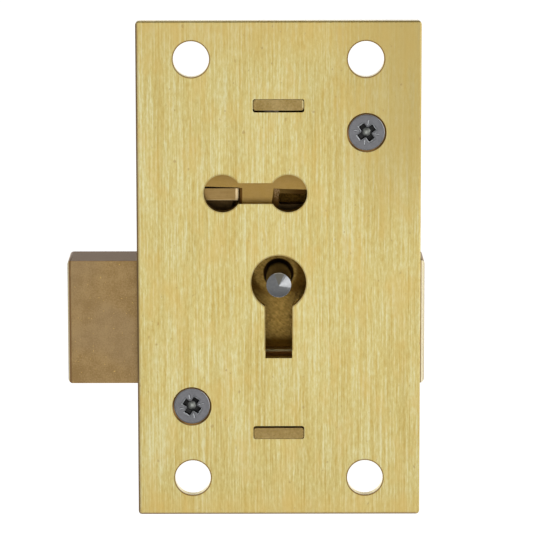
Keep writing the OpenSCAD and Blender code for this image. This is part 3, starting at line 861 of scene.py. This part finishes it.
@dataclass
class Softener:
    """Rounds the sharp edges of a copy of a CAD node, as wear, tumbling or casting does.

    Attributes:
        width, segments: width of the rounding and its faces across.
        angle: least angle in degrees of an edge that is rounded.
        outline: how many times wider the rounding is on the node's outline seen from the door.
        merge: distance within which points are merged.
        flat: angle in degrees below which faces are joined.
        face_weight: how much larger faces rule the shading's normals.
    """

    width: float
    angle: float = 28.0
    segments: int = 2
    outline: float = 1.0
    merge: float = 0.0005
    flat: float = 0.3
    face_weight: int = 60

    def weigh(self, shape: bmesh.types.BMesh) -> None:
        """Marks the sharp edges: full on the node's outline seen from the door, less within it."""
        layer = shape.edges.layers.float.new("bevel_weight_edge")
        low = [min(v.co[i] for v in shape.verts) + self.width * MM for i in range(3)]
        high = [max(v.co[i] for v in shape.verts) - self.width * MM for i in range(3)]
        for edge in shape.edges:
            if len(edge.link_faces) == 2 and edge.calc_face_angle(0.0) > math.radians(self.angle):
                ends = [v.co for v in edge.verts]
                outer = all(any(c[i] < low[i] or c[i] > high[i] for i in (0, 2)) for c in ends)
                edge[layer] = 1.0 if outer else 1.0 / self.outline

    def soften(self, node: str, piece: str) -> Object:
        """Makes the rounded copy.

        Args:
            node: the CAD node.
            piece: the new piece's name.

        Returns:
            The new piece, which isn't on a body yet.
        """
        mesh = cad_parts[node].data.copy()
        mesh.name = piece
        shape = bmesh.new()
        shape.from_mesh(mesh)
        bmesh.ops.remove_doubles(shape, verts=shape.verts, dist=self.merge * MM)
        bmesh.ops.dissolve_limit(shape, angle_limit=math.radians(self.flat), verts=shape.verts,
                                 edges=shape.edges)
        self.weigh(shape)
        shape.to_mesh(mesh)
        shape.free()
        obj = placed(piece, mesh)
        bevel = obj.modifiers.new("edges", "BEVEL")
        bevel.limit_method = "WEIGHT"
        bevel.width = self.width * self.outline * MM
        bevel.segments = self.segments
        bevel.use_clamp_overlap = True
        plain_mesh(obj)
        obj.data.polygons.foreach_set("use_smooth", [True] * len(obj.data.polygons))
        weighted = obj.modifiers.new("normals", "WEIGHTED_NORMAL")
        weighted.keep_sharp = True
        weighted.weight = self.face_weight
        return plain_mesh(obj)


@dataclass
class FacePlate:
    """The brushed plate that lies against the door.

    Attributes:
        keyhole, window: centre, radius and share of the painted shade on the hem of the keyhole and of the
            window's round ends.
    """

    edge: float = 0.11
    outline: float = 2.2
    segments: int = 3
    fixing_x: float = 11.1
    fixing_z: float = 27.15
    fixing_r: float = 2.3
    # fixing_hem is the share of the painted shade on the fixing holes' hems.
    fixing_hem: float = 0.85
    keyhole: Hole = ((0.0, -1.6), 3.525, 0.5)
    window: tuple[Hole, ...] = (((-7.16, 9.94), 2.41, 0.35), ((1.24, 9.94), 2.41, 0.35))
    finish: BrushedBrass = BrushedBrass()

    def build(self) -> None:
        """Makes and dresses the plate."""
        softener = Softener(self.edge, outline=self.outline, segments=self.segments)
        plate = softener.soften("face_plate", "brushed_plate")
        fixing = tuple(((x, z), self.fixing_r, self.fixing_hem) for x in (-self.fixing_x, self.fixing_x)
                       for z in (-self.fixing_z, self.fixing_z))
        finish = replace(self.finish, screws=tuple(middle(side.value) for side in Side),
                         holes=fixing + (self.keyhole, *self.window))
        seat(plate, CASE_BODY, "plate", finish.material(), "face_plate")


@dataclass
class CastCase:
    """The cast case behind the plate, with the tabs that hold the plate."""

    edge: float = 0.12
    finish: CaseBrass = CaseBrass()

    def build(self) -> None:
        """Makes and dresses the case."""
        case = Softener(self.edge).soften("case", "cast_case")
        finish = replace(self.finish, pin=middle("drill_pin"))
        seat(case, CASE_BODY, "case", finish.material(), "case")


@dataclass
class Bolt:
    """The cast bolt and its stump, whose bevel at the right end is worn flatter.

    Attributes:
        worn_x: where the stump's worn bevel starts.
        worn_deep: how far behind the stump's face the bevel reaches.
        worn_slope: its rise for each millimetre across.
    """

    edge: float = 0.16
    finish: BoltBrass = BoltBrass()
    stump_edge: float = 0.05
    stump_angle: float = 12.0
    stump_finish: Metal = Metal(
        "stump_brass", tones=((0.38, (0.23, 0.145, 0.05)), (0.62, (0.315, 0.206, 0.077))),
        grains=(Grain((1.1, 0.7, 1.1), roughness=0.6, seed=5.0, weight=0.6),
                Grain((0.5, 3.0, 6.0), roughness=0.6, weight=0.4)),
        # Painted highlights: a pale right end and a paler lower edge.
        coats=(Coat((0.82, 0.63, 0.36), 0.85, x=(-5.54, -5.47)), Coat((0.82, 0.63, 0.36), 0.35, z=(8.84, 8.80))),
        roughness=0.32)
    worn_x: float = -5.52
    worn_deep: float = 0.19
    worn_slope: float = 0.15

    def build(self) -> None:
        """Makes and dresses the bolt and the stump."""
        bolt = Softener(self.edge).soften("bolt", "cast_bolt")
        seat(bolt, BOLT_BODY, "bolt", self.finish.material(), "bolt")
        stump = Softener(self.stump_edge, angle=self.stump_angle).soften("bolt_stump", "square_stump")
        front = min(v.co.y for v in stump.data.vertices)
        start = self.worn_x * MM
        for vertex in stump.data.vertices:
            if vertex.co.x > start and vertex.co.y < front + self.worn_deep * MM:
                vertex.co.y = min(vertex.co.y, front + (vertex.co.x - start) * self.worn_slope)
        seat(stump, BOLT_BODY, "stump", self.stump_finish.material(), "bolt_stump")


@dataclass
class Levers:
    """The four levers and their leaf springs."""

    edge: float = 0.05
    finish: Metal = Metal(
        "lever_brass", tones=((0.38, (0.29, 0.175, 0.05)), (0.62, (0.41, 0.27, 0.095))),
        grains=(Grain(0.7, 2.0, seed=5.0, weight=0.5), Grain((0.5, 3.0, 6.0), roughness=0.6, weight=0.5)))
    front_finish: FrontLeverBrass = FrontLeverBrass()
    spring_finish: Metal = Metal(
        "spring_steel", tones=((0.36, (0.32, 0.33, 0.34)), (0.64, (0.44, 0.45, 0.45))),
        grains=(Grain((1.0, 12.0, 1.0), 2.0, 0.6),), roughness=0.3, rough_spread=0.0, relief=(0.2, 0.005))
    spring_r: float = 11.0
    spring_t: float = 0.25
    spring_turn: float = 75.0
    spring_steps: int = 60

    def build(self) -> None:
        """Makes and dresses each lever and its spring."""
        brass, front = self.finish.material(), self.front_finish.material()
        steel = self.spring_finish.material()
        softener = Softener(self.edge)
        for n in range(1, LEVER_COUNT + 1):
            body, node = f"lever_{n}", f"lever_spring_{n}"
            lever = softener.soften(body, f"stamped_lever_{n}")
            seat(lever, body, "lever", front if n == 1 else brass, body)
            leaf = self.leaf(node, f"leaf_spring_{n}", steel)
            keep_only(leaf, steel)
            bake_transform(leaf)
            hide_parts(node)
            log.info("%s: %d faces between %s and %s", leaf.name, len(leaf.data.polygons), body, CASE_BODY)

    def leaf(self, node: str, piece: str, steel: Material) -> Object:
        """Bends one leaf spring along its arc with Geometry Nodes.

        Args:
            node: the CAD spring, which gives the place and the width.
            piece: the new piece's name.
            steel: its finish.

        Returns:
            The piece, which isn't on a body yet.
        """
        low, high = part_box(node)
        g = GeometryTree(piece + "_bend")
        radius, sweep, width, thick = (g.entry(name) for name in ("Radius", "Sweep", "Width", "Thickness"))
        centre = g.entry("Centre", "Vector")
        arc = g.node("GeometryNodeCurveArc", {"Resolution": self.spring_steps, "Radius": radius,
                                              "Start Angle": math.pi / 2, "Sweep Angle": sweep}, mode="RADIUS")
        strip = g.node("GeometryNodeCurvePrimitiveQuadrilateral", {"Width": thick, "Height": width})
        bent = g.node("GeometryNodeCurveToMesh",
                      {"Curve": arc.outputs[0], "Profile Curve": strip.outputs[0], "Fill Caps": True})
        stood = g.node("GeometryNodeTransform", {"Geometry": bent.outputs[0], "Translation": centre,
                                                 "Rotation": (math.pi / 2, 0.0, 0.0)})
        values = {"Radius": (self.spring_r - self.spring_t / 2) * MM, "Sweep": math.radians(self.spring_turn),
                  "Width": high.y - low.y, "Thickness": self.spring_t * MM,
                  "Centre": (high.x, (low.y + high.y) / 2, high.z - self.spring_r * MM), "Finish": steel}
        return g.grown(piece, stood.outputs[0], values, bpy.data.meshes.new(piece))


@dataclass
class Pins:
    """The pins that are riveted into the case's back, and the ring behind the levers.

    Attributes:
        point_y: the drill pin's faces in front of this and turned to the door are flat.
        facing: how far towards the door or away from it such a face is turned, of 1.
    """

    edge: float = 0.05
    angle: float = 18.0
    point_y: float = -1.8
    facing: float = 0.5
    tones: Stops = ((0.35, (0.49, 0.50, 0.51)), (0.65, (0.63, 0.64, 0.65)))
    # Share of the painted shade on the pins' undersides.
    under: float = 0.55
    drill_roughness: float = 0.22
    pin_roughness: float = 0.3
    ring_tones: Stops = ((0.35, (0.38, 0.27, 0.1)), (0.65, (0.52, 0.39, 0.16)))

    def build(self) -> None:
        """Makes and dresses the pins."""
        softener = Softener(self.edge, angle=self.angle)
        for node, kind, roughness in (("drill_pin", DrillPinSteel, self.drill_roughness),
                                      ("lever_pivot_pin", TurnedMetal, self.pin_roughness),
                                      ("lever_stop_pin", TurnedMetal, self.pin_roughness)):
            finish = kind(f"{node}_steel", self.tones, roughness=roughness, axis=middle(node), under=self.under)
            pin = softener.soften(node, f"turned_{node}")
            for polygon in pin.data.polygons:
                if polygon.center.y < self.point_y * MM and abs(polygon.normal.y) > self.facing:
                    polygon.use_smooth = False
            seat(pin, CASE_BODY, "pin", finish.material(), node)
        ring_finish = TurnedMetal("spacer_brass", self.ring_tones, axis=middle("pivot_spacer"))
        ring = Softener(self.edge).soften("pivot_spacer", "turned_spacer")
        seat(ring, CASE_BODY, "spacer", ring_finish.material(), "pivot_spacer")


@dataclass
class CoverScrews:
    """The two countersunk screws that hold the case, with a pressed cross recess and fine marks.

    Attributes:
        soft: over how much the pit's wall and the inner ends slope.
        arm_side, arm_end, mark_fade: over how much an arm's sides, its end and a mark's end slope.
        arm_slack: how far an arm's side slopes beyond half its width.
        arm_shoal, pit_dish: how much less deep an arm is at its end and the pit in its middle.
    """

    head_r: float = 2.335
    sunk: float = 0.18
    shank_r: float = 1.2
    length: float = 7.0
    rim: float = 0.17
    rim_deep: float = 0.055
    pit_r: float = 0.72
    pit_deep: float = 0.6
    pit_dish: float = 0.2
    soft: float = 0.1
    arm_reach: float = 1.22
    arm_half: float = 0.38
    arm_deep: float = 0.7
    arm_shoal: float = 0.3
    arm_side: float = 0.09
    arm_slack: float = 0.05
    arm_end: float = 0.14
    lip: float = 0.16
    lip_deep: float = 0.055
    mark_in: float = 0.9
    mark_out: float = 1.7
    mark_half: float = 0.11
    mark_deep: float = 0.04
    mark_fade: float = 0.2
    turn_upper: float = -35.0
    turn_lower: float = -58.0
    rings: int = 72
    sides: int = 216
    finish: ZincPlate = ZincPlate()

    def depth(self, r: float, a: float) -> float:
        """Depth of the head's face.

        Args:
            r: radius in millimetres.
            a: angle from an arm, in radians.

        Returns:
            How far the face lies behind its flat part, in millimetres.
        """
        u, v = abs(r * math.cos(a)), abs(r * math.sin(a))
        along, across = max(u, v), min(u, v)
        wall = (step(self.arm_half - across + self.arm_slack, self.arm_side)
                * step(self.arm_reach - along, self.arm_end))
        shoal = self.arm_deep - self.arm_shoal * along / self.arm_reach
        arm = wall * shoal * step(r - self.pit_r + self.soft, self.soft)
        brink = (step(self.arm_half + self.lip - across, self.lip)
                 * step(self.arm_reach + self.lip - along, self.lip))
        dish = self.pit_deep - self.pit_dish * (1.0 - (r / self.pit_r) ** 2)
        pit = step(self.pit_r - r, self.soft) * dish
        b = a + math.pi / 4
        u, v = abs(r * math.cos(b)), abs(r * math.sin(b))
        mark = (max(0.0, 1.0 - min(u, v) / self.mark_half) * step(max(u, v) - self.mark_in, self.soft)
                * step(self.mark_out - max(u, v), self.mark_fade))
        edge = max(0.0, r - (self.head_r - self.rim)) / self.rim
        return max(pit, arm, brink * self.lip_deep, mark * self.mark_deep, edge * edge * self.rim_deep)

    def form(self) -> Mesh:
        """One screw with its face towards the door and its axis through the origin."""
        face = [self.head_r * i / self.rings for i in range(1, self.rings + 1)]
        neck = self.sunk + self.rim_deep + self.head_r - self.shank_r
        below = [(self.shank_r, neck), (self.shank_r, self.length - self.shank_r / 2),
                 (self.shank_r / 2, self.length)]
        verts = [(0.0, self.sunk + self.depth(0.0, 0.0), 0.0)]
        for k in range(self.sides):
            a = math.tau * k / self.sides
            column = [(r, self.sunk + self.depth(r, a)) for r in face] + below
            verts += [(r * math.cos(a), y, r * math.sin(a)) for r, y in column]
        verts.append((0.0, self.length, 0.0))
        rows = len(face) + len(below)
        faces = []
        for k in range(self.sides):
            here, there = 1 + k * rows, 1 + (k + 1) % self.sides * rows
            faces.append((0, here, there))
            faces += [(here + i, here + i + 1, there + i + 1, there + i) for i in range(rows - 1)]
            faces.append((here + rows - 1, len(verts) - 1, there + rows - 1))
        mesh = bpy.data.meshes.new("screw_form")
        mesh.from_pydata([tuple(c * MM for c in v) for v in verts], [], faces)
        return mesh

    def build(self) -> None:
        """Places one screw form twice with Geometry Nodes, each turned as in the photograph."""
        zinc = replace(self.finish, screws=tuple(middle(side.value) for side in Side)).material()
        g = GeometryTree("screws_in_place")
        place = g.entry("Place", "Vector")
        upper, lower = g.entry("Upper turn"), g.entry("Lower turn")
        index = Val(g, g.node("GeometryNodeInputIndex").outputs[0])
        side = g.node("ShaderNodeVectorMath", {0: place, "Scale": 1.0 - index * 2.0}, operation="SCALE")
        points = g.node("GeometryNodePoints", {"Count": len(Side), "Position": side.outputs[0]})
        turn = Val(g, upper) * (1.0 - index) + Val(g, lower) * index
        turned = g.node("ShaderNodeCombineXYZ", {"Y": turn})
        laid = g.node("GeometryNodeInstanceOnPoints",
                      {"Points": points.outputs[0], "Instance": g.inlet.outputs["Geometry"],
                       "Rotation": turned.outputs[0]})
        x, z = middle(Side.UPPER.value)
        values = {"Place": (x * MM, 0.0, z * MM), "Upper turn": math.radians(self.turn_upper),
                  "Lower turn": math.radians(self.turn_lower), "Finish": zinc}
        screws = g.grown("plated_cover_screws", laid.outputs[0], values, self.form())
        seat(screws, CASE_BODY, "screw", zinc, *(s.value for s in Side))


@dataclass(frozen=True)
class SoftBox:
    """A rectangular lamp that faces the lock."""

    name: str
    place: Triple
    size: Place
    radiance: float

    def build(self) -> None:
        """Hangs the lamp."""
        data = bpy.data.lights.new(self.name, "AREA")
        data.shape = "RECTANGLE"
        data.size, data.size_y = (s * MM for s in self.size)
        data.energy = self.radiance * math.pi * data.size * data.size_y
        light = placed(self.name, data)
        light.visible_camera = False
        light.location = Vector(self.place) * MM
        light.rotation_euler = (-Vector(self.place)).to_track_quat("-Z", "Y").to_euler()


@dataclass
class Studio:
    """Camera, lights, sky and floor.

    Attributes:
        distance, pitch, roll: the camera's distance and its angles in degrees.
        across, lift: how far it is moved aside and up.
        floor_glow: light that the floor gives to the eye and in reflections.
        room: brightness of the dim room.
        behind: the directions, along Y, over which the backdrop starts.
        backdrop_top, backdrop_blur: where it ends upwards and how softly.
    """

    distance: float = 467.0
    pitch: float = 9.7
    roll: float = -0.1
    across: float = -1.56
    lift: float = 0.06
    lens: float = 243.35
    sensor: float = 36.0
    clip_m: Place = (0.01, 20.0)
    floor_z: float = -300.0
    floor_front: float = -20.0
    floor_size: float = 8000.0
    floor_grey: float = 0.8
    floor_glow: float = 0.9
    room: float = 0.25
    behind: Place = (-0.1, 0.1)
    backdrop_top: float = 0.26
    backdrop_blur: float = 0.08
    boxes: tuple[SoftBox, ...] = (
        SoftBox("front_box", (4.0, -517.0, -85.0), (270.0, 290.0), 1.37),
        SoftBox("top_box", (0.0, -240.0, 470.0), (520.0, 200.0), 0.9),
        SoftBox("right_box", (445.0, -460.0, 40.0), (420.0, 460.0), 0.9),
        SoftBox("far_right_box", (620.0, -40.0, 60.0), (360.0, 420.0), 0.9),
        SoftBox("back_box", (0.0, 900.0, -100.0), (3000.0, 640.0), 0.3))

    def build(self) -> None:
        """Sets up everything that isn't the lock."""
        self.camera()
        self.sky()
        for box in self.boxes:
            box.build()
        self.floor()
        bpy.context.scene.view_settings.view_transform = "Standard"

    def camera(self) -> None:
        """Places the camera as the photograph's was."""
        data = bpy.data.cameras.new("camera")
        data.lens, data.sensor_width = self.lens, self.sensor
        data.clip_start, data.clip_end = self.clip_m
        camera = placed("camera", data)
        tilt = math.radians(self.pitch)
        camera.location = Vector((self.across, -self.distance * math.cos(tilt),
                                  self.distance * math.sin(tilt) + self.lift)) * MM
        camera.rotation_euler = (Matrix.Rotation(math.pi / 2 - tilt, 3, "X")
                                 @ Matrix.Rotation(math.radians(self.roll), 3, "Z")).to_euler()
        bpy.context.scene.camera = camera

    def sky(self) -> None:
        """A dim room with a white backdrop behind the lock, both white to the camera."""
        world = bpy.data.worlds.new("sky")
        bpy.context.scene.world = world
        world.use_nodes = True
        maker = TreeMaker(world.node_tree)
        maker.tree.nodes.clear()
        way = maker.node("ShaderNodeSeparateXYZ", {0: maker.node("ShaderNodeTexCoord").outputs["Generated"]})
        top, blur = self.backdrop_top, self.backdrop_blur
        low = Val(maker, way.outputs["Z"]).rise(top + blur, top - blur)
        backdrop = Val(maker, way.outputs["Y"]).rise(*self.behind) * low
        shown = maker.rays("Camera") + maker.rays("Glossy", "Transmission") * backdrop
        soft, white = (maker.node("ShaderNodeBackground", {"Color": WHITE, "Strength": glow}).outputs[0]
                       for glow in (self.room, 1.0))
        mix = maker.node("ShaderNodeMixShader", {0: shown, 1: soft, 2: white})
        maker.node("ShaderNodeOutputWorld", {"Surface": mix.outputs[0]})

    def floor(self) -> None:
        """A white floor below and behind the lock, which keeps its shadow."""
        half, front, z = self.floor_size / 2 * MM, self.floor_front * MM, self.floor_z * MM
        mesh = bpy.data.meshes.new("floor")
        mesh.from_pydata([(-half, front, z), (half, front, z), (half, 2 * half, z), (-half, 2 * half, z)], [],
                         [(0, 1, 2, 3)])
        floor = placed("floor", mesh)
        s = Surface("floor_white")
        matt = s.node("ShaderNodeBsdfDiffuse", {"Color": (*(self.floor_grey,) * 3, 1.0)}).outputs[0]
        glow = s.node("ShaderNodeEmission", {"Color": WHITE, "Strength": self.floor_glow}).outputs[0]
        both = s.node("ShaderNodeAddShader", {0: matt, 1: glow}).outputs[0]
        mix = s.node("ShaderNodeMixShader", {0: s.rays("Camera", "Glossy", "Transmission"), 1: matt, 2: both})
        s.node("ShaderNodeOutputMaterial", {"Surface": mix.outputs[0]})
        mesh.materials.append(s.material)


def main() -> None:
    """Builds the lock and its studio in order, and logs each part as it is built."""
    logging.basicConfig(level=logging.INFO, format="%(message)s")
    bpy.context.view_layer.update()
    for part in (Studio(), FacePlate(), CastCase(), Bolt(), Levers(), Pins(), CoverScrews()):
        part.build()
        log.info("%s is built", type(part).__name__)


if __name__ == "__main__":
    main()
